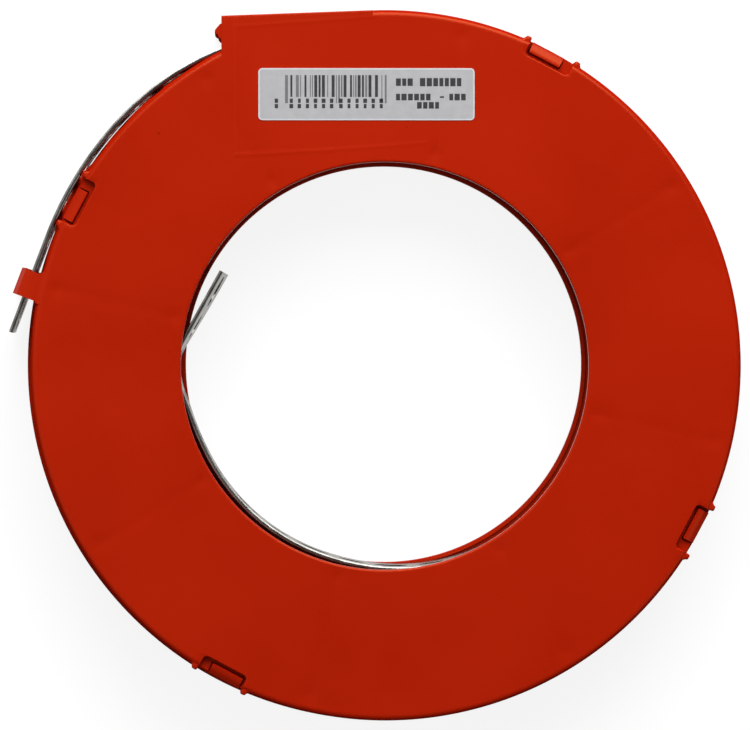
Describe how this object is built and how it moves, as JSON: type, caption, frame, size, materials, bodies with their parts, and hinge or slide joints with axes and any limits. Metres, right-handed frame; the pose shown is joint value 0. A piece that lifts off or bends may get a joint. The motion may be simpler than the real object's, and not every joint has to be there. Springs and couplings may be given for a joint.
{
  "type": "perforated strap dispenser",
  "caption": "Coil of perforated steel strap in a flat ring-shaped plastic dispenser case, with the free end held by a loop on the rim.",
  "frame": {"origin": "middle of the whole object's bounding box on its underside, level with the back plate's outer face", "axes": "+Z out of the labelled front face, +Y towards the spout, so that the object lies flat"},
  "size_m": [0.1782, 0.1738, 0.0314],
  "materials": {
    "case_front": "moulded, satin gloss, orange-red",
    "case_back": "moulded, satin gloss, orange-red",
    "strap": "rolled stainless steel strip, punched",
    "label": "pale grey printed sticker"
  },
  "bodies": {
    "root": {"case_front": "case_front", "case_back": "case_back", "strap": "strap", "label": "label"}
  },
  "joints": []
}
